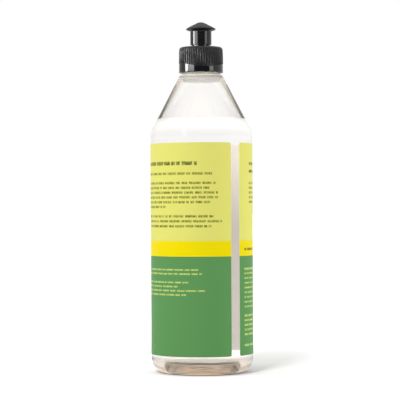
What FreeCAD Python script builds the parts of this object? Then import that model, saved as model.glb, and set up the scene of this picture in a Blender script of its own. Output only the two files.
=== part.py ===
import FreeCAD, Part
import math
import os
import re

import Sketcher

# Dish soap bottle with a push-pull spout, in millimetres.
# The origin is on the floor under the axis, +Z goes up the axis, and the photographed side looks along -Y.

SIZES = {
    # Bottle: outside
    "body_radius": 33.0,
    "heel_round": 10.0,
    "stand_ring_width": 1.6,
    "stand_ring_round": 1.2,
    "push_up_height": 7.3,
    "push_up_draft": 2.0,
    "push_up_round": 4.0,
    "shoulder_height": 156.0,
    "shoulder_round": 11.0,
    "cone_angle": 27.5,
    "ledge_width": 1.38,
    "ledge_round": 2.0,
    # Bottle: walls
    "body_wall": 0.45,
    "heel_wall": 0.7,
    "base_wall": 1.2,
    "push_up_wall": 0.5,
    "cone_wall_low": 0.55,
    "cone_wall_top": 2.95,
    "neck_root_height": 3.3,
    "neck_root_rise": 0.8,
    "neck_root_round": 0.6,
    # Bottle: neck and thread
    "neck_radius": 10.95,
    "neck_wall": 1.75,
    "collar_step": 1.25,
    "collar_height": 1.7,
    "lip_round": 0.35,
    "thread_depth": 1.0,
    "thread_pitch": 3.175,
    "thread_turns": 1.5,
    "thread_root_width": 2.0,
    "thread_crest_width": 1.0,
    "thread_below_lip": 7.0,
    # Label
    "label_over_heel": 2.3,
    "label_below_shoulder": 7.8,
    "label_film": 0.1,
    "glue_film": 0.02,
    "label_gap": 7.0,
    "label_gap_turn": -49.8,
    "label_corner": 1.2,
    # Soap
    "soap_over_shoulder": 8.1,
    "soap_clearance": 0.05,
    # Closure: skirt and deck
    "closure_over_ledge": 1.05,
    "closure_height": 16.7,
    "skirt_wall": 1.85,
    "skirt_draft": 0.23,
    "skirt_edge_round": 0.25,
    "skirt_clearance": 0.3,
    "deck_round": 1.9,
    "deck_thickness": 1.5,
    "lip_gap": 0.05,
    "plug_clearance": 0.1,
    "plug_wall": 1.1,
    "plug_length": 2.6,
    # Closure: grip flutes
    "flute_count": 54,
    "flute_radius": 0.55,
    "flute_depth": 0.36,
    "wave_middle": 4.75,
    "wave_swing": 1.25,
    "wave_low_turn": -75.0,
    # Closure: chimney, webs and pin
    "chimney_radius": 5.9,
    "chimney_wall": 1.2,
    "chimney_lead": 0.5,
    "chimney_bead": 0.22,
    "bead_height": 1.2,
    "web_count": 3,
    "web_thickness": 1.1,
    "web_height": 2.2,
    "pin_radius": 1.9,
    "pin_tip_radius": 1.55,
    "pin_tip_length": 2.3,
    "pin_tip_round": 0.5,
    # Spout
    "spout_gap": 1.35,
    "spout_wall": 0.76,
    "stem_height": 8.95,
    "slide_clearance": 0.05,
    "stop_bead_height": 0.8,
    "stop_gap": 0.1,
    "flange_radius": 9.6,
    "flange_rise": 1.05,
    "flange_edge": 0.6,
    "dome_radius": 6.8,
    "dome_rise": 1.6,
    "dome_round": 8.0,
    "top_rise": 2.6,
    "orifice_clearance": 0.05,
    "orifice_length": 1.8,
    "slot_ceiling_gap": 0.8,
    "sleeve_wall": 0.72,
    "sleeve_clearance": 0.08,
    "sleeve_kept": 1.0,
    "spout_travel": 4.5,
}

doc = FreeCAD.newDocument("dish_soap_bottle")
sheet = doc.addObject("Spreadsheet::Sheet", "Sizes")
for row, (alias, size) in enumerate(SIZES.items(), start=1):
    sheet.set(f"A{row}", alias)
    sheet.set(f"B{row}", str(size))
    sheet.setAlias(f"B{row}", alias)
doc.recompute()


# Reading the sheet
def worked_out(text):
    """The text with each size's name written as a cell of the sheet."""
    return re.sub(r"[a-z]\w*", lambda m: f"Sizes.{m.group()}" if m.group() in SIZES else m.group(), text)


def number(text):
    """What an expression comes to now."""
    found = sheet.evalExpression(worked_out(text))
    return float(getattr(found, "Value", found))


# Places that several pieces share, as expressions of the sheet's sizes
STAND_RING = "(body_radius - heel_round - stand_ring_width)"
PUSH_UP_CORNER = f"({STAND_RING} - push_up_draft)"
COLLAR_RADIUS = "(neck_radius + collar_step)"
NECK_BORE = "(neck_radius - neck_wall)"
CONE_SLOPE = "tan(cone_angle * 1deg)"
CONE_TOP_RADIUS = f"({COLLAR_RADIUS} + ledge_width)"
CONE_TOP = f"(shoulder_height + (body_radius - {CONE_TOP_RADIUS}) / {CONE_SLOPE})"
CONE_END = f"({CONE_TOP} - neck_root_height)"
CONE_END_RADIUS = f"({CONE_TOP_RADIUS} + neck_root_height * {CONE_SLOPE} - cone_wall_top)"
INNER_RADIUS = "(body_radius - body_wall)"
INNER_SHOULDER = f"(shoulder_height - (cone_wall_low - body_wall) / {CONE_SLOPE})"
SOAP_LEVEL = "(shoulder_height + soap_over_shoulder)"
CLOSURE_BOTTOM = f"({CONE_TOP} + closure_over_ledge)"
CLOSURE_TOP = f"({CLOSURE_BOTTOM} + closure_height)"
SKIRT_BORE = f"({COLLAR_RADIUS} + skirt_clearance)"
SKIRT_RADIUS = f"({SKIRT_BORE} + skirt_wall)"
DECK_UNDERSIDE = f"({CLOSURE_TOP} - deck_thickness)"
LIP = f"({DECK_UNDERSIDE} - lip_gap)"
SPOUT_BOTTOM = f"({CLOSURE_TOP} + spout_gap)"
BEAD_FOOT = f"({SPOUT_BOTTOM} + stop_bead_height + spout_travel + stop_gap)"
BEAD_TOP = f"({BEAD_FOOT} + bead_height)"
CHIMNEY_TOP = f"({BEAD_TOP} + chimney_lead)"
CHIMNEY_BORE = "(chimney_radius - chimney_wall)"
SPOUT_BORE = "(chimney_radius + chimney_bead + slide_clearance)"
STEM_RADIUS = f"({SPOUT_BORE} + spout_wall)"
STEM_TOP = f"({SPOUT_BOTTOM} + stem_height)"
RIM = f"({STEM_TOP} + flange_rise)"
DOME_START = f"({RIM} + flange_edge + dome_rise)"
SPOUT_TOP = f"({DOME_START} + top_rise)"
ORIFICE_RADIUS = "(pin_tip_radius + orifice_clearance)"
ORIFICE_FOOT = f"({SPOUT_TOP} - orifice_length)"
SLEEVE_RADIUS = f"({CHIMNEY_BORE} - sleeve_clearance)"
SLEEVE_BORE = f"({SLEEVE_RADIUS} - sleeve_wall)"
SLEEVE_BOTTOM = f"({CHIMNEY_TOP} - spout_travel - sleeve_kept)"
SLOT_CEILING = f"({CHIMNEY_TOP} + slot_ceiling_gap)"


def new_body(label):
    body = doc.addObject("PartDesign::Body", label)
    body.Label = label
    return body


def origin_part(body, role):
    return next(f for f in body.Origin.OriginFeatures if f.Role == role)


def corner_arc(before, corner, after, radius):
    """The arc that rounds a corner, and whether the outline turns left there."""
    into = (corner - before).normalize()
    out = (after - corner).normalize()
    turn = math.atan2(into.x * out.y - into.y * out.x, into.dot(out))
    reach = radius * math.tan(abs(turn) / 2)
    start = corner - into * reach
    end = corner + out * reach
    side = 1 if turn > 0 else -1
    middle = start + FreeCAD.Vector(-into.y, into.x, 0) * (side * radius)
    first, last = (start, end) if turn > 0 else (end, start)
    angles = [math.atan2(p.y - middle.y, p.x - middle.x) for p in (first, last)]
    circle = Part.Circle(middle, FreeCAD.Vector(0, 0, 1), radius)
    return Part.ArcOfCircle(circle, angles[0], angles[1]), start, end, turn > 0


def outline(body, name, corners):
    """A closed sketch on the XZ plane through corners (radius, height) or (radius, height, rounding)."""
    sketch = body.newObject("Sketcher::SketchObject", name)
    sketch.AttachmentSupport = [(origin_part(body, "XZ_Plane"), "")]
    sketch.MapMode = "FlatFace"
    places = [FreeCAD.Vector(number(c[0]), number(c[1]), 0) for c in corners]
    count = len(corners)
    starts = list(places)
    ends = list(places)
    arcs = {}
    for n, corner in enumerate(corners):
        if len(corner) == 3:
            arc, into, out, left = corner_arc(
                places[n - 1], places[n], places[(n + 1) % count], number(corner[2])
            )
            ends[n] = into
            starts[n] = out
            arcs[n] = (arc, left)
    for n in range(count):
        sketch.addGeometry(Part.LineSegment(starts[n], ends[(n + 1) % count]), False)

    rules = []
    bound = []

    def place(geometry, point, corner, n):
        for direction, text, axis in (("DistanceX", corner[0], -2), ("DistanceY", corner[1], -1)):
            if text == "0":
                rules.append(Sketcher.Constraint("PointOnObject", geometry, point, axis))
            else:
                rules.append(Sketcher.Constraint(direction, -1, 1, geometry, point, number(text)))
                bound.append((len(rules) - 1, f"corner{n}_{direction[-1].lower()}", text))

    for n, corner in enumerate(corners):
        before = (n - 1) % count
        if n not in arcs:
            rules.append(Sketcher.Constraint("Coincident", before, 2, n, 1))
            place(n, 1, corner, n)
            continue
        arc, left = arcs[n]
        round_at = sketch.addGeometry(arc, False)
        point_at = sketch.addGeometry(Part.Point(places[n]), True)
        near, far = (1, 2) if left else (2, 1)
        rules.append(Sketcher.Constraint("Tangent", before, 2, round_at, near))
        rules.append(Sketcher.Constraint("Tangent", round_at, far, n, 1))
        rules.append(Sketcher.Constraint("PointOnObject", point_at, 1, before))
        rules.append(Sketcher.Constraint("PointOnObject", point_at, 1, n))
        rules.append(Sketcher.Constraint("Radius", round_at, number(corner[2])))
        bound.append((len(rules) - 1, f"corner{n}_round", corner[2]))
        place(point_at, 1, corner, n)
    sketch.addConstraint(rules)
    for at, rule_name, text in bound:
        sketch.renameConstraint(at, rule_name)
        sketch.setExpression(f"Constraints.{rule_name}", worked_out(text))
    return sketch


def revolved(body, name, corners, angle=None):
    """A solid turned from an outline about the body's own Z axis."""
    sketch = outline(body, f"{name}_outline", corners)
    turned = body.newObject("PartDesign::Revolution", name)
    turned.Profile = sketch
    turned.ReferenceAxis = (sketch, ["V_Axis"])
    turned.Angle = 360
    if angle:
        turned.setExpression("Angle", worked_out(angle))
    sketch.Visibility = False
    doc.recompute()
    return turned


def make_bottle():
    body = new_body("bottle")
    base_inside = "(push_up_height + base_wall)"
    revolved(
        body,
        "bottle_shell",
        [
            ("0", "push_up_height"),
            (PUSH_UP_CORNER, "push_up_height", "push_up_round"),
            (STAND_RING, "0", "stand_ring_round"),
            ("body_radius", "0", "heel_round"),
            ("body_radius", "shoulder_height", "shoulder_round"),
            (CONE_TOP_RADIUS, CONE_TOP, "ledge_round"),
            (COLLAR_RADIUS, CONE_TOP),
            (COLLAR_RADIUS, f"{CONE_TOP} + collar_height"),
            ("neck_radius", f"{CONE_TOP} + collar_height + collar_step / 2"),
            ("neck_radius", LIP, "lip_round"),
            (NECK_BORE, LIP, "lip_round"),
            (NECK_BORE, f"{CONE_END} + neck_root_rise", "neck_root_round"),
            (CONE_END_RADIUS, CONE_END, "neck_root_round"),
            (INNER_RADIUS, INNER_SHOULDER, "shoulder_round"),
            (INNER_RADIUS, "heel_wall", "heel_round - body_wall"),
            (f"{STAND_RING} + push_up_wall", "heel_wall", "stand_ring_round"),
            (f"{PUSH_UP_CORNER} + push_up_wall", base_inside, "push_up_round + push_up_wall"),
            ("0", base_inside),
        ],
    )
    start = f"({LIP} - thread_below_lip)"
    root = "(neck_radius - thread_depth / 2)"
    root_half = "(thread_root_width / 2 + (thread_root_width - thread_crest_width) / 4)"
    crest = "(neck_radius + thread_depth)"
    profile = outline(
        body,
        "thread_profile",
        [
            (root, f"{start} - {root_half}"),
            (crest, f"{start} - thread_crest_width / 2"),
            (crest, f"{start} + thread_crest_width / 2"),
            (root, f"{start} + {root_half}"),
        ],
    )
    thread = body.newObject("PartDesign::AdditiveHelix", "thread")
    thread.Profile = profile
    thread.ReferenceAxis = (profile, ["V_Axis"])
    thread.Mode = "pitch-turns-angle"
    thread.setExpression("Pitch", worked_out("thread_pitch"))
    thread.setExpression("Turns", worked_out("thread_turns"))
    profile.Visibility = False
    doc.recompute()
    return body


def make_label():
    body = new_body("label")
    inside = "(body_radius + glue_film)"
    bottom = "(heel_round + label_over_heel)"
    top = "(shoulder_height - label_below_shoulder)"
    turn = f"360deg - label_gap / {inside} * 1rad"
    film = revolved(
        body,
        "label_film",
        [
            (inside, bottom),
            (f"{inside} + label_film", bottom),
            (f"{inside} + label_film", top),
            (inside, top),
        ],
        turn,
    )
    ends = [
        f"Edge{n}"
        for n, edge in enumerate(film.Shape.Edges, start=1)
        if edge.Length < 2 * number("label_film") and edge.BoundBox.ZLength < number("label_film") / 2
    ]
    corners = body.newObject("PartDesign::Fillet", "label_corners")
    corners.Base = (film, ends)
    corners.setExpression("Radius", worked_out("label_corner"))
    body.setExpression(
        ".Placement.Rotation.Angle", worked_out(f"label_gap_turn * 1deg + label_gap / {inside} / 2 * 1rad")
    )
    doc.recompute()
    return body


def make_liquid_soap():
    body = new_body("liquid_soap")
    top_radius = (
        f"({INNER_RADIUS} - ({SOAP_LEVEL} - {INNER_SHOULDER})"
        f" * ({INNER_RADIUS} - {CONE_END_RADIUS}) / ({CONE_END} - {INNER_SHOULDER}) - soap_clearance)"
    )
    floor = "(heel_wall + soap_clearance)"
    middle = "(push_up_height + base_wall + soap_clearance)"
    skin = "push_up_wall + soap_clearance"
    revolved(
        body,
        "soap_fill",
        [
            ("0", middle),
            (f"{PUSH_UP_CORNER} + {skin}", middle, f"push_up_round + {skin}"),
            (f"{STAND_RING} + {skin}", floor, "stand_ring_round"),
            (f"{INNER_RADIUS} - soap_clearance", floor, "heel_round - body_wall"),
            (f"{INNER_RADIUS} - soap_clearance", INNER_SHOULDER, "shoulder_round"),
            (top_radius, SOAP_LEVEL),
            ("0", SOAP_LEVEL),
        ],
    )
    return body


def make_closure():
    body = new_body("closure_moulding")
    plug_radius = f"({NECK_BORE} - plug_clearance)"
    bead_crest = "(chimney_radius + chimney_bead)"
    revolved(
        body,
        "closure_shell",
        [
            (SKIRT_RADIUS, CLOSURE_BOTTOM, "skirt_edge_round"),
            (f"{SKIRT_RADIUS} - skirt_draft", CLOSURE_TOP, "deck_round"),
            ("chimney_radius", CLOSURE_TOP),
            ("chimney_radius", BEAD_FOOT),
            (bead_crest, f"{BEAD_FOOT} + chimney_bead"),
            (bead_crest, f"{BEAD_TOP} - chimney_bead"),
            ("chimney_radius", BEAD_TOP),
            ("chimney_radius", CHIMNEY_TOP),
            (CHIMNEY_BORE, CHIMNEY_TOP),
            (CHIMNEY_BORE, DECK_UNDERSIDE),
            (f"{plug_radius} - plug_wall", DECK_UNDERSIDE),
            (f"{plug_radius} - plug_wall", f"{DECK_UNDERSIDE} - plug_length"),
            (plug_radius, f"{DECK_UNDERSIDE} - plug_length"),
            (plug_radius, DECK_UNDERSIDE),
            (SKIRT_BORE, DECK_UNDERSIDE),
            (SKIRT_BORE, CLOSURE_BOTTOM),
        ],
    )
    sketch = body.newObject("Sketcher::SketchObject", "web_outline")
    sketch.AttachmentSupport = [(origin_part(body, "XY_Plane"), "")]
    sketch.MapMode = "FlatFace"
    sketch.setExpression(".AttachmentOffset.Base.z", worked_out(DECK_UNDERSIDE))
    reach = f"({CHIMNEY_BORE} + chimney_wall / 4)"
    half = number("web_thickness") / 2
    far = number(reach)
    points = [FreeCAD.Vector(x, y, 0) for x, y in ((0, -half), (far, -half), (far, half), (0, half))]
    for n in range(4):
        sketch.addGeometry(Part.LineSegment(points[n], points[(n + 1) % 4]), False)
    sketch.addConstraint(
        [Sketcher.Constraint("Coincident", n, 2, (n + 1) % 4, 1) for n in range(4)]
        + [
            Sketcher.Constraint("Horizontal", 0),
            Sketcher.Constraint("Vertical", 1),
            Sketcher.Constraint("Horizontal", 2),
            Sketcher.Constraint("PointOnObject", 0, 1, -2),
            Sketcher.Constraint("Symmetric", 0, 1, 3, 1, -1, 1),
            Sketcher.Constraint("Distance", 0, far),
            Sketcher.Constraint("Distance", 1, 2 * half),
        ]
    )
    sketch.setExpression("Constraints[9]", worked_out(reach))
    sketch.setExpression("Constraints[10]", worked_out("web_thickness"))
    web = body.newObject("PartDesign::Pad", "web")
    web.Profile = sketch
    web.setExpression("Length", worked_out("web_height"))
    sketch.Visibility = False
    doc.recompute()
    webs = body.newObject("PartDesign::PolarPattern", "webs")
    webs.Originals = [web]
    webs.Axis = (origin_part(body, "Z_Axis"), [""])
    webs.Angle = 360
    webs.setExpression("Occurrences", worked_out("web_count"))
    body.Tip = webs
    doc.recompute()
    revolved(
        body,
        "pin",
        [
            ("0", DECK_UNDERSIDE),
            ("pin_radius", DECK_UNDERSIDE),
            ("pin_radius", f"{SPOUT_TOP} - pin_tip_length - (pin_radius - pin_tip_radius) * 2"),
            ("pin_tip_radius", f"{SPOUT_TOP} - pin_tip_length"),
            ("pin_tip_radius", SPOUT_TOP, "pin_tip_round"),
            ("0", SPOUT_TOP),
        ],
    )
    flutes = [make_flute(n) for n in range(int(number("flute_count")))]
    cutters = doc.addObject("Part::Compound", "grip_flutes")
    cutters.Links = flutes
    closure = doc.addObject("Part::Cut", "closure")
    closure.Label = "closure"
    closure.Base = body
    closure.Tool = cutters
    doc.recompute()
    return closure


def make_flute(n):
    """The cutter of one grip flute, whose foot follows the wave along the skirt."""
    turn = f"({n} * 360deg / flute_count)"
    foot = f"(wave_middle - wave_swing * cos(2 * ({turn} - wave_low_turn * 1deg)))"
    axis_radius = f"({SKIRT_RADIUS} + flute_radius - flute_depth)"
    flute = doc.addObject("Part::Cylinder", f"flute_{n}")
    flute.setExpression("Radius", worked_out("flute_radius"))
    flute.setExpression("Height", worked_out("closure_height"))
    flute.setExpression(".Placement.Base.x", worked_out(f"{axis_radius} * cos({turn})"))
    flute.setExpression(".Placement.Base.y", worked_out(f"{axis_radius} * sin({turn})"))
    flute.setExpression(".Placement.Base.z", worked_out(f"{CLOSURE_BOTTOM} + {foot}"))
    return flute


def make_spout():
    body = new_body("spout")
    revolved(
        body,
        "spout_shell",
        [
            ("chimney_radius + slide_clearance", SPOUT_BOTTOM),
            (STEM_RADIUS, SPOUT_BOTTOM),
            (STEM_RADIUS, STEM_TOP),
            ("flange_radius", RIM),
            ("flange_radius", f"{RIM} + flange_edge"),
            ("dome_radius", DOME_START, "dome_round"),
            (ORIFICE_RADIUS, SPOUT_TOP),
            (ORIFICE_RADIUS, ORIFICE_FOOT),
            (SLEEVE_BORE, f"{ORIFICE_FOOT} - {SLEEVE_BORE} + {ORIFICE_RADIUS}"),
            (SLEEVE_BORE, SLEEVE_BOTTOM),
            (SLEEVE_RADIUS, SLEEVE_BOTTOM),
            (SLEEVE_RADIUS, SLOT_CEILING),
            (SPOUT_BORE, SLOT_CEILING),
            (SPOUT_BORE, f"{SPOUT_BOTTOM} + stop_bead_height"),
            ("chimney_radius + slide_clearance", f"{SPOUT_BOTTOM} + stop_bead_height"),
        ],
    )
    return body


parts = [make_bottle(), make_label(), make_liquid_soap(), make_closure(), make_spout()]
doc.recompute()

for item in doc.Objects:
    if "Invalid" in item.State or "Error" in item.State:
        raise RuntimeError(f"{item.Label} failed: {item.State}")
for part in parts:
    if part.Shape.isNull() or not part.Shape.isValid():
        raise RuntimeError(f"{part.Label} has no valid shape")

os.makedirs("parts", exist_ok=True)
for part in parts:
    part.Shape.exportStep(f"parts/{part.Label}.step")
    box = part.Shape.BoundBox
    print(
        f"{part.Label}: {len(part.Shape.Solids)} solid, {part.Shape.Volume / 1000:.2f} ml,"
        f" r {box.XMax:.2f}, z {box.ZMin:.2f} to {box.ZMax:.2f}"
    )
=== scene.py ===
import math
import random

import bpy
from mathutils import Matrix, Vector


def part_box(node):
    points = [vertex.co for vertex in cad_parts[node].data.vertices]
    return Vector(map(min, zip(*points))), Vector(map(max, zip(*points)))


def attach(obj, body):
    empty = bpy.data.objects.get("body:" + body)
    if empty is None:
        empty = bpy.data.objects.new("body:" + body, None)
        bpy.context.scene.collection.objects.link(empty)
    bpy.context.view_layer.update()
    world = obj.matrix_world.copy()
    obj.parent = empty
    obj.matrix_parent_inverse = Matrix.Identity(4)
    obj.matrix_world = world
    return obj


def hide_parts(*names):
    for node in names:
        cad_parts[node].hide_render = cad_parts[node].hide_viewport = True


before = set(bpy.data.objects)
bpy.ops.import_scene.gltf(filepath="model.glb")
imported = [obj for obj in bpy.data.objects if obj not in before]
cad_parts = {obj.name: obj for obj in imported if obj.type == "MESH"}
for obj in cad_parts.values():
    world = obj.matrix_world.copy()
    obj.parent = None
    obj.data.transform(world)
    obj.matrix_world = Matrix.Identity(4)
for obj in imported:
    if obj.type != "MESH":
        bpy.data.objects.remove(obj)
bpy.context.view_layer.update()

# Dish soap bottle with a push-pull spout. Lengths are in millimetres until a mesh is made, which is in metres.
MM = 0.001
MERGE = 0.001
FULL_TURN = 2 * math.pi
BOUNCES = 20


def millimetres(node):
    """A node's lowest and highest corner, in millimetres."""
    return [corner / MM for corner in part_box(node)]


bottle_low, bottle_high = millimetres("bottle")
label_low, label_high = millimetres("label")
soap_low, soap_high = millimetres("liquid_soap")
closure_low, closure_high = millimetres("closure")
spout_low, spout_high = millimetres("spout")

# Bottle
BODY_RADIUS = bottle_high.x
LIP = bottle_high.z
HEEL_ROUND = 10.0
STAND_RING = BODY_RADIUS - HEEL_ROUND - 1.6
STAND_RING_ROUND = 1.2
PUSH_UP = 7.3
PUSH_UP_CORNER = STAND_RING - 2.0
PUSH_UP_ROUND = 4.0
PUSH_UP_WALL = 0.5
GATE_RADIUS = 1.6
GATE_RISE = 0.35
SHOULDER = 156.0
SHOULDER_ROUND = 11.0
CONE_TOP = closure_low.z - 1.05
CONE_TOP_RADIUS = 13.58
LEDGE_ROUND = 2.0
COLLAR_RADIUS = 12.2
COLLAR_HEIGHT = 1.7
COLLAR_CHAMFER = 0.625
NECK_RADIUS = 10.95
NECK_BORE = 9.2
LIP_ROUND = 0.35
BODY_WALL = 0.45
HEEL_WALL = 0.7
BASE_WALL = 1.2
CONE_WALL_LOW = 0.55
CONE_WALL_TOP = 2.95
NECK_ROOT = 3.3
NECK_ROOT_RISE = 0.8
NECK_ROOT_ROUND = 0.6
THREAD_DEPTH = 1.0
THREAD_PITCH = 3.175
THREAD_TURNS = 1.5
THREAD_START = LIP - 7.0
THREAD_ROOT_HALF = 1.1
THREAD_CREST_HALF = 0.45
SOAP_LEVEL = soap_high.z

# Label, laid out flat: x runs along the film from the middle of the photographed side, z is the height
FILM = 0.1
INK = 0.02
LABEL_INSIDE = BODY_RADIUS + 0.02
LABEL_OUTSIDE = label_high.x
GAP_MIDDLE = math.radians(40.2)
GAP_WIDTH = 7.0
LABEL_RIGHT = GAP_MIDDLE * LABEL_INSIDE - GAP_WIDTH / 2
LABEL_LEFT = LABEL_RIGHT + GAP_WIDTH - FULL_TURN * LABEL_INSIDE
LABEL_CORNER = 1.2
YELLOW_BOTTOM = 75.9
YELLOW_TOP = 85.6

# Closure and spout
SKIRT_BOTTOM = closure_low.z
DECK = SKIRT_BOTTOM + 16.7
SKIRT_RADIUS = 14.35
SKIRT_DRAFT = 0.23
SKIRT_BORE = 12.5
DECK_ROUND = 1.9
DECK_UNDERSIDE = DECK - 1.5
PLUG_RADIUS = NECK_BORE - 0.1
PLUG_WALL = 1.1
PLUG_LENGTH = 2.6
FLUTES = 54
FLUTE_RADIUS = 0.55
FLUTE_DEPTH = 0.36
RIB_RISE = 0.1
WAVE_MIDDLE = 4.75
WAVE_SWING = 1.25
WAVE_LOW_TURN = math.radians(-75.0)
CHIMNEY_RADIUS = 5.9
CHIMNEY_BORE = 4.7
CHIMNEY_BEAD = 0.22
SPOUT_BOTTOM = spout_low.z
SPOUT_TOP = spout_high.z
BEAD_FOOT = SPOUT_BOTTOM + 5.4
BEAD_TOP = BEAD_FOOT + 1.2
CHIMNEY_TOP = BEAD_TOP + 0.5
PIN_RADIUS = 1.9
PIN_TIP_RADIUS = 1.55
SPOUT_BORE = CHIMNEY_RADIUS + CHIMNEY_BEAD + 0.05
STEM_RADIUS = SPOUT_BORE + 0.76
STEM_TOP = SPOUT_BOTTOM + 8.95
FLANGE_RADIUS = spout_high.x
RIM = STEM_TOP + 1.05
FLANGE_EDGE = 0.6
DOME_START = RIM + FLANGE_EDGE + 1.6
DOME_RADIUS = 6.8
ORIFICE = PIN_TIP_RADIUS + 0.05


# Making a piece
def edit(piece, mode="VERT"):
    bpy.ops.object.select_all(action="DESELECT")
    piece.select_set(True)
    bpy.context.view_layer.objects.active = piece
    bpy.ops.object.mode_set(mode="EDIT")
    bpy.ops.mesh.select_mode(type=mode)


def done():
    bpy.ops.object.mode_set(mode="OBJECT")


def pick_points(piece, wanted):
    """Selects the points of a piece, in edit mode, whose place in millimetres is wanted."""
    bpy.ops.mesh.select_all(action="DESELECT")
    done()
    for point in piece.data.vertices:
        point.select = wanted(point.co / MM)
    bpy.ops.object.mode_set(mode="EDIT")


def single_point(name, place):
    """A new piece in edit mode that is one point."""
    bpy.ops.object.select_all(action="DESELECT")
    bpy.ops.mesh.primitive_plane_add(size=MM)
    piece = bpy.context.object
    piece.name = name
    piece.data.name = name
    bpy.ops.object.mode_set(mode="EDIT")
    bpy.ops.mesh.select_mode(type="VERT")
    bpy.ops.mesh.merge(type="CENTER")
    bpy.ops.transform.translate(value=place * MM)
    return piece


def outlined(name, corners, closed):
    """An outline on the XZ plane through corners (radius, height) or (radius, height, rounding)."""
    places = [Vector((corner[0], 0, corner[1])) for corner in corners]
    piece = single_point(name, places[0])
    for before, after in zip(places, places[1:]):
        bpy.ops.mesh.extrude_region_move(TRANSFORM_OT_translate={"value": (after - before) * MM})
    if closed:
        pick_points(piece, lambda at: min((at - places[0]).length, (at - places[-1]).length) < MERGE)
        bpy.ops.mesh.edge_face_add()
    for n, corner in enumerate(corners):
        if len(corner) == 3:
            round_corner(piece, places[n - 1], places[n], places[(n + 1) % len(places)], corner[2])
    return piece


def round_corner(piece, before, corner, after, radius):
    turn = (corner - before).angle(after - corner)
    pick_points(piece, lambda at: (at - corner).length < MERGE)
    bpy.ops.mesh.bevel(
        offset=radius * math.tan(turn / 2) * MM,
        offset_type="ABSOLUTE",
        segments=max(3, round(math.degrees(turn) / 6)),
        profile=0.5,
        affect="VERTICES",
    )


def split_wall(piece, low, high, cuts):
    """Divides the straight wall between two places of an outline into rings."""
    ends = [Vector((low[0], 0, low[1])), Vector((high[0], 0, high[1]))]
    pick_points(piece, lambda at: min((at - end).length for end in ends) < MERGE)
    bpy.ops.mesh.subdivide(number_cuts=cuts)


def turned(piece, steps):
    """Turns an outline about the bottle's axis into a closed, outward-facing piece."""
    bpy.ops.mesh.select_all(action="SELECT")
    bpy.ops.mesh.spin(steps=steps, angle=FULL_TURN, center=(0, 0, 0), axis=(0, 0, 1))
    bpy.ops.mesh.select_all(action="SELECT")
    bpy.ops.mesh.remove_doubles(threshold=MERGE * MM)
    bpy.ops.mesh.normals_make_consistent(inside=False)
    done()


def apply_modifier(piece, modifier):
    bpy.ops.object.select_all(action="DESELECT")
    piece.select_set(True)
    bpy.context.view_layer.objects.active = piece
    bpy.ops.object.modifier_apply(modifier=modifier.name)


def pushed(piece, reach, share, direction="NORMAL"):
    """Pushes the skin of a piece out by the share of reach that each place has."""
    group = piece.vertex_groups.new(name="share")
    for point in piece.data.vertices:
        weight = share(point.co / MM, point.normal)
        if weight > 0:
            group.add([point.index], weight, "REPLACE")
    push = piece.modifiers.new("push", "DISPLACE")
    push.direction = direction
    push.mid_level = 0
    push.strength = reach * MM
    push.vertex_group = group.name
    apply_modifier(piece, push)
    piece.vertex_groups.remove(piece.vertex_groups["share"])


def smoothed(piece, angle=28.0):
    bpy.ops.object.select_all(action="DESELECT")
    piece.select_set(True)
    bpy.context.view_layer.objects.active = piece
    bpy.ops.object.shade_smooth_by_angle(angle=math.radians(angle))


def finished(piece, material, body, slot, *nodes):
    """Gives a piece its finish, its body and the CAD nodes that it stands for."""
    if material:
        piece.data.materials.append(material)
    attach(piece, body)
    if nodes:
        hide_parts(*nodes)
    return piece


def clamped(value, low=0.0, high=1.0):
    return max(low, min(high, value))


def turn_of(at):
    return math.atan2(at.y, at.x)


def radius_of(at):
    return math.hypot(at.x, at.y)


# Materials
def plain(hex_colour):
    """A colour as the shader takes it, from its usual screen value."""
    parts = [int(hex_colour[n : n + 2], 16) / 255 for n in (0, 2, 4)]
    return [p / 12.92 if p <= 0.04045 else ((p + 0.055) / 1.055) ** 2.4 for p in parts] + [1.0]


class Finish:
    """A material with a Principled shader, and short ways to add nodes to it."""

    def __init__(self, name, **sockets):
        self.material = bpy.data.materials.new(name)
        self.material.use_nodes = True
        self.tree = self.material.node_tree
        self.shader = self.tree.nodes["Principled BSDF"]
        self.output = self.tree.nodes["Material Output"]
        for socket, value in sockets.items():
            self.shader.inputs[socket.replace("_", " ")].default_value = value

    def node(self, kind, inputs=None, **settings):
        node = self.tree.nodes.new("ShaderNode" + kind)
        for setting, value in settings.items():
            setattr(node, setting, value)
        for socket, value in (inputs or {}).items():
            if isinstance(value, bpy.types.NodeSocket):
                self.tree.links.new(value, node.inputs[socket])
            else:
                node.inputs[socket].default_value = value
        return node

    def link(self, output, socket):
        self.tree.links.new(output, self.shader.inputs[socket])

    def bump(self, height, distance, strength=1.0):
        node = self.node("Bump", {"Height": height, "Distance": distance * MM, "Strength": strength})
        self.link(node.outputs["Normal"], "Normal")

    def noise(self, scale, detail=3.0, vector=None, **sockets):
        inputs = {"Scale": scale, "Detail": detail, **sockets}
        inputs["Vector"] = vector or self.node("TexCoord").outputs["Object"]
        return self.node("TexNoise", inputs).outputs["Fac"]

    def lets_lamps_through(self):
        """Shadow rays pass, so that lamps light what lies behind the clear wall."""
        path = self.node("LightPath")
        clear = self.node("BsdfTransparent", {"Color": (0.88, 0.85, 0.8, 1)})
        mix = self.node("MixShader", {0: path.outputs["Is Shadow Ray"]})
        self.tree.links.new(self.shader.outputs[0], mix.inputs[1])
        self.tree.links.new(clear.outputs[0], mix.inputs[2])
        self.tree.links.new(mix.outputs[0], self.output.inputs["Surface"])


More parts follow.
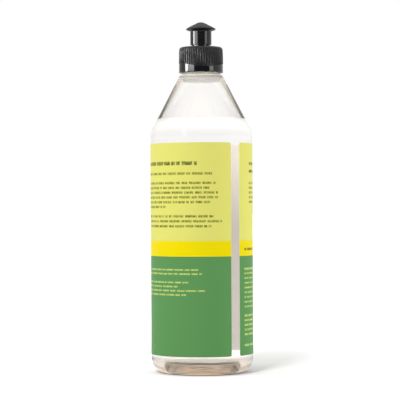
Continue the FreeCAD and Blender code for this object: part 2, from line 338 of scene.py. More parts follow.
def clear_plastic(name):
    """Clear blown plastic with some recycled content, whose beige tint shows where light runs along the wall.
    The foot carries painted beige-brown shade in its colour, and the inner neck root glows with painted light.
    """
    finish = Finish(name, IOR=1.57, Specular_IOR_Level=0.08)
    tint = finish.node("VolumeAbsorption", {"Color": (0.68, 0.64, 0.56, 1), "Density": 30.0})
    finish.tree.links.new(tint.outputs[0], finish.output.inputs["Volume"])
    place = finish.node("TexCoord").outputs["Object"]
    height = finish.node("SeparateXYZ", {0: place}).outputs["Z"]
    from_neck = finish.node("Math", {0: height, 1: CONE_TOP * MM}, operation="SUBTRACT")
    away = finish.node("Math", {0: from_neck.outputs[0]}, operation="ABSOLUTE")
    ledge = finish.node("MapRange", {0: away.outputs[0], 1: 0.8 * MM, 2: 1.4 * MM, 3: 0.5, 4: 0.0})
    from_root = finish.node("Math", {0: height, 1: (CONE_TOP - 2.6) * MM}, operation="SUBTRACT")
    away = finish.node("Math", {0: from_root.outputs[0]}, operation="ABSOLUTE")
    root = finish.node("MapRange", {0: away.outputs[0], 1: 1.0 * MM, 2: 1.5 * MM, 3: 0.5, 4: 0.0})
    flat = finish.node("VectorMath", {0: place, 1: (1, 1, 0)}, operation="MULTIPLY")
    radius = finish.node("VectorMath", {0: flat.outputs[0]}, operation="LENGTH").outputs["Value"]
    inner = finish.node("Math", {0: radius, 1: 12.9 * MM}, operation="LESS_THAN")
    inner_root = finish.node("Math", {0: root.outputs[0], 1: inner.outputs[0]}, operation="MULTIPLY")
    haze = finish.node("Math", {0: ledge.outputs[0], 1: inner_root.outputs[0]}, operation="MAXIMUM")
    finish.link(haze.outputs[0], "Roughness")
    milky = finish.node("MapRange", {0: haze.outputs[0], 1: 0.0, 2: 0.5, 3: 1.0, 4: 0.3})
    finish.link(milky.outputs[0], "Transmission Weight")
    share = finish.node("Math", {0: ledge.outputs[0], 1: 2.0}, operation="MULTIPLY")
    base = finish.node("MapRange", {0: height, 1: 7.0 * MM, 2: 9.5 * MM, 3: 1.0, 4: 0.0})
    # Painted shade: below 7 to 9.5 mm the plastic's colour turns beige-brown, for the shaded view through the
    # base.
    foot_painted_shade = finish.node(
        "Mix", {0: base.outputs[0], 6: (1, 1, 1, 1), 7: (0.9, 0.8, 0.69, 1)}, data_type="RGBA"
    )
    tone = finish.node(
        "Mix", {0: share.outputs[0], 6: foot_painted_shade.outputs[2], 7: (1.0, 0.95, 0.81, 1)}, data_type="RGBA"
    )
    finish.link(tone.outputs[2], "Base Color")
    # Painted light: the inner neck root glows warm white, standing in for light seen through the thick plastic
    # there.
    finish.shader.inputs["Emission Color"].default_value = (1.0, 0.95, 0.86, 1)
    painted_root_glow = finish.node("Math", {0: inner_root.outputs[0], 1: 0.28}, operation="MULTIPLY")
    finish.link(painted_root_glow.outputs[0], "Emission Strength")
    streaks = finish.noise(90.0, 1.0)
    uneven = finish.node("Math", {0: base.outputs[0], 1: streaks}, operation="MULTIPLY")
    finish.bump(uneven.outputs[0], 0.5)
    finish.lets_lamps_through()
    return finish.material


def clear_soap(name):
    finish = Finish(name, Transmission_Weight=1.0, IOR=1.36, Specular_IOR_Level=0.1, Roughness=0.0)
    finish.shader.inputs["Base Color"].default_value = (1, 1, 1, 1)
    finish.lets_lamps_through()
    return finish.material


def moulded_black(name, roughness, gloss=0.5):
    finish = Finish(
        name, Base_Color=plain("121315"), Roughness=roughness, IOR=1.5, Specular_IOR_Level=gloss
    )
    return finish.material


PALE = plain("e2e073")
YELLOW = plain("f0dc00")
GREEN = plain("5e9557")


def field_colour(finish, plan):
    """The label's three fields of colour, by height."""
    height = finish.node("SeparateXYZ", {0: plan.outputs[0]}).outputs["Y"]

    def above(level, low, high):
        over = finish.node("Math", {0: height, 1: (level - label_low.z) * MM}, operation="GREATER_THAN")
        mix = finish.node("Mix", {0: over.outputs[0], 6: low, 7: high}, data_type="RGBA")
        return mix.outputs[2]

    lower = above(YELLOW_BOTTOM, GREEN, YELLOW)
    return above(YELLOW_TOP, lower, PALE)


def printed_film(name):
    """The label's print on a satin film."""
    finish = Finish(name, Roughness=0.45, IOR=1.5, Specular_IOR_Level=0.06)
    plan = finish.node("UVMap", uv_map="plan")
    finish.link(field_colour(finish, plan), "Base Color")
    finish.bump(finish.noise(60.0, 2.0), 0.04)
    return finish.material


def film_back_with_painted_glow(name):
    finish = Finish(name, Base_Color=plain("d9d6d0"), Roughness=0.5)
    # Painted light: the back of the film glows, standing in for light soaking through the label, and glows more
    # towards the top, where light falls from above.
    finish.shader.inputs["Emission Color"].default_value = plain("cdc6ba")
    height = finish.node("SeparateXYZ", {0: finish.node("TexCoord").outputs["Object"]}).outputs["Z"]
    glow = finish.node("MapRange", {0: height, 1: 95 * MM, 2: 140 * MM, 3: 0.7, 4: 1.15})
    finish.link(glow.outputs[0], "Emission Strength")
    finish.bump(finish.noise(60.0, 2.0), 0.04)
    return finish.material


def printing_ink(name, ink, breaks):
    """Ink of small print: along each line it thins out by the given share, as letters do."""
    finish = Finish(name, Roughness=0.45, IOR=1.5, Specular_IOR_Level=0.06)
    plan = finish.node("UVMap", uv_map="plan")
    stretch = finish.node("Mapping", {"Vector": plan.outputs[0], "Scale": (1.0, 0.35, 1.0)})
    grain = finish.noise(1300.0, 2.0, vector=stretch.outputs[0])
    share = finish.node("MapRange", {0: grain, 1: 0.5 - 0.1, 2: 0.5 + 0.1, 3: 1.0 - breaks, 4: 1.0})
    ground = field_colour(finish, plan)
    mix = finish.node("Mix", {0: share.outputs[0], 6: ground, 7: ink}, data_type="RGBA")
    finish.link(mix.outputs[2], "Base Color")
    return finish.material


# The bottle
def make_bottle():
    slope = (BODY_RADIUS - CONE_TOP_RADIUS) / (CONE_TOP - SHOULDER)
    root_radius = CONE_TOP_RADIUS + NECK_ROOT * slope - CONE_WALL_TOP
    inner_radius = BODY_RADIUS - BODY_WALL
    inner_shoulder = SHOULDER - (CONE_WALL_LOW - BODY_WALL) / slope
    inner_slope = (inner_radius - root_radius) / (CONE_TOP - NECK_ROOT - inner_shoulder)
    level_radius = inner_radius - (SOAP_LEVEL - inner_shoulder) * inner_slope
    neck_foot = (NECK_RADIUS, CONE_TOP + COLLAR_HEIGHT + COLLAR_CHAMFER)
    neck_head = (NECK_RADIUS, LIP - LIP_ROUND)
    bottle = outlined(
        "clear_bottle",
        [
            (0, PUSH_UP - GATE_RISE),
            (GATE_RADIUS, PUSH_UP - GATE_RISE, 0.2),
            (GATE_RADIUS + GATE_RISE, PUSH_UP),
            (PUSH_UP_CORNER, PUSH_UP, PUSH_UP_ROUND),
            (STAND_RING, 0, STAND_RING_ROUND),
            (BODY_RADIUS, 0, HEEL_ROUND),
            (BODY_RADIUS, label_low.z),
            (BODY_RADIUS, label_high.z),
            (BODY_RADIUS, SHOULDER, SHOULDER_ROUND),
            (CONE_TOP_RADIUS, CONE_TOP, LEDGE_ROUND),
            (COLLAR_RADIUS, CONE_TOP),
            (COLLAR_RADIUS, CONE_TOP + COLLAR_HEIGHT),
            neck_foot,
            (NECK_RADIUS, LIP, LIP_ROUND),
            (NECK_BORE, LIP, LIP_ROUND),
            (NECK_BORE, CONE_TOP - NECK_ROOT + NECK_ROOT_RISE, NECK_ROOT_ROUND),
            (root_radius, CONE_TOP - NECK_ROOT, NECK_ROOT_ROUND),
            (level_radius, SOAP_LEVEL),
            (inner_radius, inner_shoulder, SHOULDER_ROUND),
            (inner_radius, HEEL_WALL, HEEL_ROUND - BODY_WALL),
            (STAND_RING + PUSH_UP_WALL, HEEL_WALL, STAND_RING_ROUND),
            (PUSH_UP_CORNER + PUSH_UP_WALL, PUSH_UP + BASE_WALL, PUSH_UP_ROUND + PUSH_UP_WALL),
            (0, PUSH_UP + BASE_WALL),
        ],
        closed=False,
    )
    split_wall(bottle, neck_foot, neck_head, 48)
    turned(bottle, 288)

    def thread(at, normal):
        if abs(radius_of(at) - NECK_RADIUS) > 0.02 or not neck_foot[1] < at.z < neck_head[1]:
            return 0.0
        share = 0.0
        for turn in range(-1, 3):
            along = (turn_of(at) % FULL_TURN) / FULL_TURN + turn
            if 0.0 <= along <= THREAD_TURNS:
                away = abs(at.z - THREAD_START - along * THREAD_PITCH)
                crest = clamped((THREAD_ROOT_HALF - away) / (THREAD_ROOT_HALF - THREAD_CREST_HALF))
                lead = clamped(min(along, THREAD_TURNS - along) / 0.04)
                share = max(share, crest * lead)
        return share

    pushed(bottle, THREAD_DEPTH, thread)
    finished(bottle, clear_plastic("clear_plastic"), "bottle_body", "clear_plastic", "bottle")
    smoothed(bottle, 40.0)
    return bottle


def make_soap():
    slope = (BODY_RADIUS - CONE_TOP_RADIUS) / (CONE_TOP - SHOULDER)
    skin = -0.03
    inner_radius = BODY_RADIUS - BODY_WALL
    inner_shoulder = SHOULDER - (CONE_WALL_LOW - BODY_WALL) / slope
    root_radius = CONE_TOP_RADIUS + NECK_ROOT * slope - CONE_WALL_TOP
    inner_slope = (inner_radius - root_radius) / (CONE_TOP - NECK_ROOT - inner_shoulder)
    level_radius = inner_radius - (SOAP_LEVEL - inner_shoulder) * inner_slope
    side = PUSH_UP_WALL + skin
    floor = HEEL_WALL + skin
    middle = PUSH_UP + BASE_WALL + skin
    soap = outlined(
        "soap_fill",
        [
            (0, middle),
            (PUSH_UP_CORNER + side, middle, PUSH_UP_ROUND + side),
            (STAND_RING + side, floor, STAND_RING_ROUND),
            (inner_radius - skin, floor, HEEL_ROUND - BODY_WALL),
            (inner_radius - skin, inner_shoulder, SHOULDER_ROUND),
            (level_radius - skin, SOAP_LEVEL),
            (level_radius - 2.5, SOAP_LEVEL - 0.45, 2.0),
            (0, SOAP_LEVEL - 0.45),
        ],
        closed=False,
    )
    turned(soap, 288)
    finished(soap, clear_soap("clear_soap"), "bottle_body", "soap", "liquid_soap")
    smoothed(soap, 40.0)
    return soap


# The label and its print
def flat_piece(name):
    """An empty piece in edit mode, for shapes laid out flat."""
    piece = single_point(name, Vector((0, 0, 0)))
    bpy.ops.mesh.delete(type="VERT")
    return piece


def flat_bar(left, right, low, high):
    middle = Vector(((left + right) / 2, 0, (low + high) / 2)) * MM
    bpy.ops.mesh.select_all(action="DESELECT")
    bpy.ops.mesh.primitive_plane_add(size=MM, location=middle, rotation=(math.pi / 2, 0, 0))
    bpy.ops.transform.resize(value=(right - left, 1, high - low), center_override=middle)


def flat_leaf(foot_x, foot_z, length, width, lean):
    """A pointed leaf that stands on its foot, leaning by an angle from upright."""
    foot = Vector((foot_x, 0, foot_z)) * MM
    middle = foot + Vector((0, 0, length / 2)) * MM
    bpy.ops.mesh.select_all(action="DESELECT")
    bpy.ops.mesh.primitive_circle_add(
        vertices=24, radius=MM / 2, location=middle, rotation=(math.pi / 2, 0, 0), fill_type="NGON"
    )
    bpy.ops.transform.resize(value=(width, 1, length), center_override=middle)
    bpy.ops.transform.rotate(value=-lean, orient_axis="Y", center_override=foot)


def wrapped(piece, inside, thickness, slice_width=1.0):
    """Cuts a flat piece into narrow strips, thickens it outwards and wraps it round the bottle."""
    done()
    places = [point.co.x / MM for point in piece.data.vertices]
    left, right = min(places), max(places)
    piece.data.uv_layers.new(name="plan")
    bpy.ops.object.mode_set(mode="EDIT")
    for n in range(math.ceil(left / slice_width), math.floor(right / slice_width) + 1):
        bpy.ops.mesh.select_all(action="SELECT")
        bpy.ops.mesh.bisect(plane_co=(n * slice_width * MM, 0, 0), plane_no=(1, 0, 0))
    done()
    for face in piece.data.polygons:
        if face.normal.y > 0:
            face.flip()
    plan = piece.data.uv_layers["plan"]
    for loop in piece.data.loops:
        at = piece.data.vertices[loop.vertex_index].co
        plan.data[loop.index].uv = (at.x - LABEL_LEFT * MM, at.z - label_low.z * MM)
    film = piece.modifiers.new("film", "SOLIDIFY")
    film.thickness = thickness * MM
    film.offset = 1.0
    film.material_offset = 1
    film.material_offset_rim = 1
    apply_modifier(piece, film)
    bend = piece.modifiers.new("bend", "SIMPLE_DEFORM")
    bend.deform_method = "BEND"
    bend.deform_axis = "Z"
    bend.angle = (right - left) / inside
    apply_modifier(piece, bend)
    edit(piece)
    bpy.ops.mesh.select_all(action="SELECT")
    bpy.ops.transform.translate(value=(0, -inside * MM, 0))
    done()
    smoothed(piece, 30.0)


def make_label():
    label = flat_piece("wrap_label")
    flat_bar(LABEL_LEFT, LABEL_RIGHT, label_low.z, label_high.z)
    bpy.ops.mesh.select_all(action="SELECT")
    bpy.ops.mesh.bevel(
        offset=LABEL_CORNER * MM, offset_type="ABSOLUTE", segments=6, profile=0.5, affect="VERTICES"
    )
    label.data.materials.append(printed_film("label_print"))
    label.data.materials.append(film_back_with_painted_glow("label_back"))
    wrapped(label, LABEL_INSIDE, FILM)
    finished(label, None, "bottle_body", "label_film", "label")
    return label


def word_row(chance, left, right, height, tall):
    """One line of small print as bars of the length of words."""
    at = left
    while at < right - 1.2:
        word = min(chance.uniform(1.6, 8.2), right - at)
        flat_bar(at, at + word, height - tall / 2, height + tall / 2)
        at += word + chance.uniform(0.8, 1.1)


def paragraph(chance, left, rights, top, pitch, tall):
    for n, right in enumerate(rights):
        word_row(chance, left, right, top - n * pitch, tall)


def along(turn_degrees):
    """The place along the flat label of a turn from the middle of the photographed side."""
    return math.radians(turn_degrees) * LABEL_OUTSIDE


def make_headings():
    chance = random.Random(4)
    headings = flat_piece("dark_print")
    word_row(chance, along(-95), -3.0, 135.0, 2.3)
    word_row(chance, 38.4, along(135), 135.0, 1.9)
    word_row(chance, 38.4, along(125), 130.2, 1.9)
    word_row(chance, 31.8, along(120), 80.2, 1.6)
    finish_print(headings, "ink_dark", plain("4c561c"), 0.5)
    return headings


def make_small_print():
    chance = random.Random(6)
    rows = flat_piece("small_print")
    left = along(-95)
    word_row(chance, left, 6.7, 128.5, 1.5)
    paragraph(chance, left, (8.9, 6.2, 10.5, 10.5, 5.3, -25.5), 122.5, 3.02, 1.45)
    paragraph(chance, left, (8.5, 13.2, 6.8), 101.4, 3.13, 1.45)
    paragraph(chance, 38.4, [along(a) for a in (140, 137, 142, 139, 128)], 122.5, 3.02, 1.45)
    finish_print(rows, "ink_olive", plain("767b30"), 0.6)
    return rows


def make_light_print():
    chance = random.Random(9)
    light = flat_piece("light_print")
    left = along(-95)
    paragraph(chance, left, (-1.9, 0.9), 67.5, 2.6, 1.0)
    paragraph(chance, left, (-8.9, -16.2, 3.2, -10.3), 59.5, 2.63, 1.0)
    right_panel = 31.7
    word_row(chance, right_panel, along(95), 67.6, 1.4)
    row_ends = [along(a) for a in (141, 138, 143, 140, 142, 137, 143, 125)]
    paragraph(chance, right_panel, row_ends, 64.7, 3.04, 1.0)
    word_row(chance, right_panel, along(140), 37.7, 1.3)
    paragraph(chance, right_panel, [along(a) for a in (143, 139, 142, 118)], 34.7, 3.0, 1.2)
    word_row(chance, right_panel, along(80), 18.8, 1.3)
    finish_print(light, "ink_light", plain("cfdc7a"), 0.6)
    return light


def finish_print(piece, name, ink, breaks):
    piece.data.materials.append(printing_ink(name, ink, breaks))
    wrapped(piece, LABEL_OUTSIDE, INK)
    piece.data.materials.append(piece.data.materials[0])
    finished(piece, None, "bottle_body", "label_film")


def make_front_art():
    """The front panel's plain design: a fan of leaves, two straight rules and a blank name plate."""
    middle = along(-139.8)
    leaves = flat_piece("art_leaves")
    for lean in (-64, -32, 0, 32, 64):
        turn = math.radians(lean)
        flat_leaf(middle + 6.0 * math.sin(turn), 26.0 + 6.0 * math.cos(turn), 27.0, 7.0, turn)
    finish_print(leaves, "ink_orange", plain("f2b93b"), 0.0)
    plate = flat_piece("art_plate")
    flat_bar(middle - 24, middle + 24, 112.0, 134.0)
    bpy.ops.mesh.select_all(action="SELECT")
    bpy.ops.mesh.bevel(offset=5 * MM, offset_type="ABSOLUTE", segments=8, profile=0.5, affect="VERTICES")
    flat_bar(middle - 22, middle + 22, 106.6, 107.4)
    flat_bar(middle - 15, middle + 15, 103.8, 104.6)
    finish_print(plate, "ink_green", plain("3f7d42"), 0.0)
    return leaves, plate


# The closure
def wave(turn):
    """How far the foot of the grip has risen at a turn, from 0 to 1."""
    return (1 - math.cos(2 * (turn - WAVE_LOW_TURN))) / 2


def make_closure():
    low_foot = SKIRT_BOTTOM + WAVE_MIDDLE - WAVE_SWING
    draft = SKIRT_DRAFT / (DECK - SKIRT_BOTTOM)
    wall_top = DECK - DECK_ROUND

    def skirt(height):
        return (SKIRT_RADIUS - (height - SKIRT_BOTTOM) * draft, height)

    closure = outlined(
        "screw_closure",
        [
            (SKIRT_RADIUS, SKIRT_BOTTOM, 0.25),
            skirt(low_foot - 0.5),
            skirt(low_foot + 0.7),
            skirt(wall_top - 0.1),
            (SKIRT_RADIUS - SKIRT_DRAFT, DECK, DECK_ROUND),
            (CHIMNEY_RADIUS + 0.3, DECK),
            (CHIMNEY_RADIUS, DECK + 0.3),
            (CHIMNEY_RADIUS, BEAD_FOOT),
            (CHIMNEY_RADIUS + CHIMNEY_BEAD, BEAD_FOOT + CHIMNEY_BEAD),
            (CHIMNEY_RADIUS + CHIMNEY_BEAD, BEAD_TOP - CHIMNEY_BEAD),
            (CHIMNEY_RADIUS, BEAD_TOP),
            (CHIMNEY_RADIUS, CHIMNEY_TOP, 0.2),
            (CHIMNEY_BORE, CHIMNEY_TOP, 0.2),
            (CHIMNEY_BORE, DECK_UNDERSIDE, 0.2),
            (PLUG_RADIUS - PLUG_WALL, DECK_UNDERSIDE),
            (PLUG_RADIUS - PLUG_WALL, DECK_UNDERSIDE - PLUG_LENGTH, 0.2),
            (PLUG_RADIUS, DECK_UNDERSIDE - PLUG_LENGTH, 0.3),
            (PLUG_RADIUS, DECK_UNDERSIDE),
            (SKIRT_BORE, DECK_UNDERSIDE),
            (SKIRT_BORE, SKIRT_BOTTOM, 0.2),
        ],
        closed=True,
    )
    split_wall(closure, skirt(low_foot - 0.5), skirt(low_foot + 0.7), 11)
    split_wall(closure, skirt(low_foot + 0.7), skirt(wall_top - 0.1), 10)
    split_wall(closure, (SKIRT_BORE, DECK_UNDERSIDE), (SKIRT_BORE, SKIRT_BOTTOM + 0.2), 30)
    turned(closure, FLUTES * 8)

    def lift(at, normal):
        if radius_of(at) < SKIRT_RADIUS - 0.6 or normal.z > 0.5:
            return 0.0
        fade = (at.z - SKIRT_BOTTOM - 0.3) / (low_foot - 0.5 - SKIRT_BOTTOM - 0.3)
        if at.z > low_foot + 0.7:
            fade = (wall_top - at.z) / (wall_top - low_foot - 0.7)
        return wave(turn_of(at)) * clamped(fade)

    def over_foot(at):
        foot = low_foot + 2 * WAVE_SWING * wave(turn_of(at))
        return at.z - foot

    def flute(at, normal):
        radius = radius_of(at)
        if radius < SKIRT_RADIUS - 1.2 or over_foot(at) < 0 or normal.z > 0.95:
            return 0.0
        pitch = FULL_TURN / FLUTES
        away = abs((turn_of(at) + pitch / 2) % pitch - pitch / 2)
        axis = SKIRT_RADIUS + FLUTE_RADIUS - FLUTE_DEPTH
        reach = FLUTE_RADIUS**2 - (axis * math.sin(away)) ** 2
        if reach <= 0:
            return 0.0
        bottom = axis * math.cos(away) - math.sqrt(reach)
        return clamped((radius - bottom) / FLUTE_DEPTH) * clamped(over_foot(at) / 0.12)

    def rib(at, normal):
        if radius_of(at) < SKIRT_RADIUS - 0.5 or normal.z > 0.3:
            return 0.0
        return clamped(over_foot(at) / 0.1) * clamped((wall_top - at.z) / 3.0)

    pushed(closure, 2 * WAVE_SWING, lift, "Z")
    pushed(closure, RIB_RISE, rib)
    pushed(closure, -FLUTE_DEPTH - RIB_RISE, flute)

    def inner_thread(at, normal):
        if abs(radius_of(at) - SKIRT_BORE) > 0.02 or normal.x * at.x + normal.y * at.y > 0:
            return 0.0
        share = 0.0
        for turn in range(-1, 3):
            along_thread = (turn_of(at) % FULL_TURN) / FULL_TURN + turn
            if 0.0 <= along_thread <= THREAD_TURNS:
                away = abs(at.z - THREAD_START - THREAD_PITCH / 2 - along_thread * THREAD_PITCH + THREAD_PITCH)
                crest = clamped((0.9 - away) / 0.6)
                share = max(share, crest * clamped(min(along_thread, THREAD_TURNS - along_thread) / 0.04))
        return share

    pushed(closure, 0.45, inner_thread)
    finished(closure, moulded_black("black_moulding", 0.1), "closure_body", "black_plastic", "closure")
    closure.data.materials.append(moulded_black("black_grip", 0.32, 0.4))
    for face in closure.data.polygons:
        at = face.center / MM
        if face.normal.z < -0.5 or (radius_of(at) > SKIRT_RADIUS - 1.3 and over_foot(at) > 0.05):
            face.material_index = 1
    smoothed(closure, 32.0)
    return closure


def make_pin():
    """The fixed centre pin with the three webs that hold it in the chimney."""
    pin = outlined(
        "centre_pin",
        [
            (0, DECK_UNDERSIDE),
            (PIN_RADIUS, DECK_UNDERSIDE, 0.2),
            (PIN_RADIUS, SPOUT_TOP - 2.3 - 0.7),
            (PIN_TIP_RADIUS, SPOUT_TOP - 2.3),
            (PIN_TIP_RADIUS, SPOUT_TOP, 0.5),
            (0, SPOUT_TOP),
        ],
        closed=False,
    )
    turned(pin, 64)
    edit(pin)
    for n in range(3):
        turn = n * FULL_TURN / 3
        middle = Vector((math.cos(turn), math.sin(turn), 0)) * (CHIMNEY_BORE + PIN_RADIUS) / 2
        middle.z = DECK_UNDERSIDE + 1.1
        bpy.ops.mesh.select_all(action="DESELECT")
        bpy.ops.mesh.primitive_cube_add(size=MM, location=middle * MM)
        reach = CHIMNEY_BORE - PIN_RADIUS + 0.6
        bpy.ops.transform.resize(value=(reach, 1.1, 2.2), center_override=middle * MM)
        bpy.ops.transform.rotate(value=-turn, orient_axis="Z", center_override=middle * MM)
    done()
    finished(pin, moulded_black("black_moulding_pin", 0.16), "closure_body", "black_plastic")
    smoothed(pin, 32.0)
    return pin


def make_spout():
    chimney_slide = CHIMNEY_RADIUS + 0.05
    sleeve_radius = CHIMNEY_BORE - 0.08
    sleeve_bore = sleeve_radius - 0.72
    orifice_foot = SPOUT_TOP - 1.8
    spout = outlined(
        "pull_spout",
        [
            (chimney_slide, SPOUT_BOTTOM, 0.1),
            (STEM_RADIUS, SPOUT_BOTTOM, 0.2),
            (STEM_RADIUS, STEM_TOP, 0.4),
            (FLANGE_RADIUS, RIM, 0.15),
            (FLANGE_RADIUS, RIM + FLANGE_EDGE, 0.3),
            (DOME_RADIUS, DOME_START, 8.0),
            (ORIFICE, SPOUT_TOP, 0.25),
            (ORIFICE, orifice_foot),
            (sleeve_bore, orifice_foot - sleeve_bore + ORIFICE),
            (sleeve_bore, CHIMNEY_TOP - 5.5),
            (sleeve_radius, CHIMNEY_TOP - 5.5, 0.1),
            (sleeve_radius, CHIMNEY_TOP + 0.8, 0.1),
            (SPOUT_BORE, CHIMNEY_TOP + 0.8, 0.1),
            (SPOUT_BORE, SPOUT_BOTTOM + 0.8, 0.05),
            (chimney_slide, SPOUT_BOTTOM + 0.8, 0.05),
        ],
        closed=True,
    )
    turned(spout, 192)
    finished(spout, moulded_black("black_moulding_spout", 0.13), "spout_body", "black_plastic", "spout")
    spout.data.materials.append(moulded_black("black_dome", 0.4, 0.16))
    for face in spout.data.polygons:
        if face.center.z / MM > STEM_TOP + 0.2 and radius_of(face.center / MM) > ORIFICE:
            face.material_index = 1
    smoothed(spout, 32.0)
    return spout


# The set
def make_floor():
    bpy.ops.object.select_all(action="DESELECT")
    bpy.ops.mesh.primitive_plane_add(size=40, location=(0, 0, -0.03 * MM))
    floor = bpy.context.object
    floor.name = "floor"
    finish = Finish("pale_floor", Roughness=0.9, Specular_IOR_Level=0.0)
    path = finish.node("LightPath")
    pale = finish.node(
        "Mix",
        {0: path.outputs["Is Diffuse Ray"], 6: (0.84, 0.84, 0.84, 1), 7: (0.6, 0.6, 0.6, 1)},
        data_type="RGBA",
    )
    place = finish.node("TexCoord").outputs["Object"]
    away = finish.node("VectorMath", {0: place}, operation="LENGTH").outputs["Value"]
    # Painted shadow: a dark ring on the floor under the stand ring darkens both the floor's colour and its
    # emission.
    from_ring = finish.node("Math", {0: away, 1: (STAND_RING + 1.0) * MM}, operation="SUBTRACT")
    off_ring = finish.node("Math", {0: from_ring.outputs[0]}, operation="ABSOLUTE")
    painted_contact_shadow = finish.node("MapRange", {0: off_ring.outputs[0], 1: 1.2 * MM, 2: 3.6 * MM, 3: 0.06, 4: 1.0})
    shaded = finish.node("VectorMath", {0: pale.outputs[2], "Scale": painted_contact_shadow.outputs[0]}, operation="SCALE")
    finish.link(shaded.outputs[0], "Base Color")
    gloss_or_clear = finish.node(
        "Math", {0: path.outputs["Is Glossy Ray"], 1: path.outputs["Is Transmission Ray"]}, operation="ADD"
    )
    seen = finish.node(
        "Math",
        {0: gloss_or_clear.outputs[0], 1: 0.15, 2: path.outputs["Is Camera Ray"]},
        operation="MULTIPLY_ADD",
    )
    glow = finish.node("MapRange", {0: away, 1: 0.1, 2: 0.5, 3: 0.0, 4: 0.6})
    shine = finish.node("Math", {0: glow.outputs[0], 1: seen.outputs[0]}, operation="MULTIPLY")
    # Painted light: under the bottle the floor glows warm for glossy and transmission rays, standing in for
    # light focused through the clear plastic.
    painted_light_under_bottle = finish.node("MapRange", {0: away, 1: 0.028, 2: 0.036, 3: 0.8, 4: 0.0})
    gathered = finish.node(
        "Math",
        {0: painted_light_under_bottle.outputs[0], 1: gloss_or_clear.outputs[0], 2: shine.outputs[0]},
        operation="MULTIPLY_ADD",
    )
    painted_warm_light_share = finish.node("Math", {0: painted_light_under_bottle.outputs[0], 1: gloss_or_clear.outputs[0]}, operation="MULTIPLY")
    tone = finish.node(
        "Mix", {0: painted_warm_light_share.outputs[0], 6: (1, 1, 1, 1), 7: (1.0, 0.85, 0.7, 1)}, data_type="RGBA"
    )
    finish.link(tone.outputs[2], "Emission Color")
    dimmed = finish.node("Math", {0: gathered.outputs[0], 1: painted_contact_shadow.outputs[0]}, operation="MULTIPLY")
    finish.link(dimmed.outputs[0], "Emission Strength")
    floor.data.materials.append(finish.material)


# What glossy faces see round the horizon: turn from the camera's direction in degrees, and brightness
ROUND_THE_SET = ((-180, 1.0), (-155, 1.0), (-145, 0.6), (-98, 0.6), (-92, 0.3), (-35, 0.3), (-30, 0.03))
ROUND_THE_SET += ((40, 0.03), (75, 0.7), (180, 1.0))


def make_world():
    """White for the camera, plain light for matt faces, and a studio for clear and glossy ones."""
    world = bpy.data.worlds.new("studio")
    bpy.context.scene.world = world
    world.use_nodes = True
    tree = world.node_tree
    nodes = tree.nodes
    links = tree.links
    parts = nodes.new("ShaderNodeSeparateXYZ")
    links.new(nodes.new("ShaderNodeTexCoord").outputs["Generated"], parts.inputs[0])

    def between(value, low, high, at_low, at_high):
        spread = nodes.new("ShaderNodeMapRange")
        for socket, number in zip(list(spread.inputs)[1:5], (low, high, at_low, at_high)):
            socket.default_value = number
        links.new(value, spread.inputs[0])
        return spread.outputs[0]

    def mixed(share, first, second):
        mix = nodes.new("ShaderNodeMix")
        mix.data_type = "RGBA"
        for socket, value in ((0, share), (6, first), (7, second)):
            if isinstance(value, bpy.types.NodeSocket):
                links.new(value, mix.inputs[socket])
            else:
                mix.inputs[socket].default_value = (*value, 1)
        return mix.outputs[2]

    front = nodes.new("ShaderNodeMath")
    front.operation = "MULTIPLY"
    front.inputs[1].default_value = -1
    links.new(parts.outputs["Y"], front.inputs[0])
    turn = nodes.new("ShaderNodeMath")
    turn.operation = "ARCTAN2"
    links.new(parts.outputs["X"], turn.inputs[0])
    links.new(front.outputs[0], turn.inputs[1])
    ring = nodes.new("ShaderNodeValToRGB")
    links.new(between(turn.outputs[0], -math.pi, math.pi, 0, 1), ring.inputs[0])
    stops = ring.color_ramp.elements
    while len(stops) < len(ROUND_THE_SET):
        stops.new(0.5)
    for stop, (degrees, bright) in zip(stops, ROUND_THE_SET):
        stop.position = (degrees + 180) / 360
        stop.color = (bright, bright, bright, 1)

    path = nodes.new("ShaderNodeLightPath")
    rise = parts.outputs["Z"]
    for_gloss = mixed(between(rise, 0.12, 0.2, 0, 1), ring.outputs[0], (0.7, 0.67, 0.63))
    for_gloss = mixed(between(rise, 0.5, 0.75, 0, 1), for_gloss, (1.5, 1.5, 1.5))
    along_wall = between(path.outputs["Glossy Depth"], 0, 1, 0, 1)
    for_clear = mixed(along_wall, (1, 1, 1), (0.78, 0.71, 0.62))
    colour = mixed(path.outputs["Is Glossy Ray"], (0.95, 0.95, 0.95), for_gloss)
    colour = mixed(path.outputs["Is Transmission Ray"], colour, for_clear)
    colour = mixed(path.outputs["Is Camera Ray"], colour, (1, 1, 1))
    links.new(colour, nodes["Background"].inputs["Color"])


def soft_light(name, turn, height, distance, width, tall, power, aim=0.11):
    """An area light at a turn from the camera's direction, in degrees to its right."""
    lamp = bpy.data.lights.new(name, "AREA")
    lamp.shape = "RECTANGLE"
    lamp.size = width
    lamp.size_y = tall
    lamp.energy = power
    light = bpy.data.objects.new(name, lamp)
    bpy.context.scene.collection.objects.link(light)
    angle = math.radians(turn)
    light.location = (math.sin(angle) * distance, -math.cos(angle) * distance, height)
    light.rotation_euler = (Vector((0, 0, aim)) - light.location).to_track_quat("-Z", "Y").to_euler()
    light.visible_camera = False
    light.visible_transmission = False
    return light


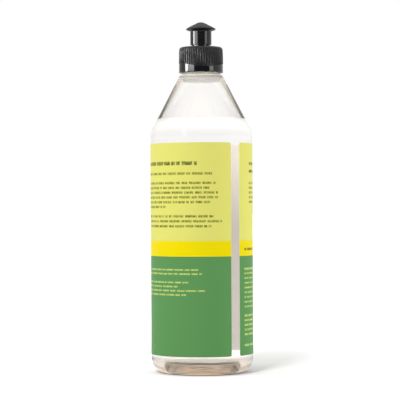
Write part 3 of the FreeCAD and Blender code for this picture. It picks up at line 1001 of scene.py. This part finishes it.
def make_lights():
    key = soft_light("key", -72, 0.75, 1.3, 0.5, 0.8, 4.5)
    key.visible_glossy = False
    floor_light = soft_light("floor_light", -22, 1.2, 1.1, 0.35, 0.35, 14)
    floor_light.visible_glossy = False
    floor_only = bpy.data.collections.new("floor_only")
    floor_only.objects.link(bpy.data.objects["floor"])
    floor_light.light_linking.receiver_collection = floor_only
    rim = soft_light("rim", 100, 0.4, 1.4, 0.5, 0.8, 5.0)
    rim.visible_glossy = False
    label_only = bpy.data.collections.new("label_only")
    for name in ("wrap_label", "dark_print", "small_print", "light_print"):
        label_only.objects.link(bpy.data.objects[name])
    rim.light_linking.receiver_collection = label_only
    black_pieces = bpy.data.collections.new("black_pieces")
    for name in ("screw_closure", "centre_pin", "pull_spout"):
        black_pieces.objects.link(bpy.data.objects[name])
    cards = (("card_wide", -62, 0.95, 2.6), ("card_bright", -81, 0.3, 2.2), ("card_right", 56, 0.4, 0.6))
    for name, turn, width, power in cards:
        card = soft_light(name, turn, 0.31, 1.0, width, 0.13, power, aim=0.2)
        card.visible_diffuse = False
        card.light_linking.receiver_collection = black_pieces


def make_camera():
    """The photograph's view: the camera is level with the middle of the bottle, 1157 mm away."""
    distance = 1.157
    height = 0.10855
    camera = bpy.data.objects.new("camera", bpy.data.cameras.new("camera"))
    bpy.context.scene.collection.objects.link(camera)
    camera.data.sensor_width = 36
    camera.data.lens = 1780 / 400 * 36
    camera.location = (-1.1 * MM, -distance, height)
    look_at_height = 0.1118
    tilt = math.atan((look_at_height - height) / distance)
    camera.rotation_euler = (math.pi / 2 + tilt, math.radians(0.29), 0)
    bpy.context.scene.camera = camera


make_bottle()
make_soap()
make_label()
make_headings()
make_small_print()
make_light_print()
make_front_art()
make_closure()
make_pin()
make_spout()
make_floor()
make_world()
make_lights()
make_camera()
bpy.context.scene.view_settings.view_transform = "Standard"
bpy.context.scene.cycles.max_bounces = BOUNCES
bpy.context.scene.cycles.glossy_bounces = BOUNCES
bpy.context.scene.cycles.transmission_bounces = BOUNCES
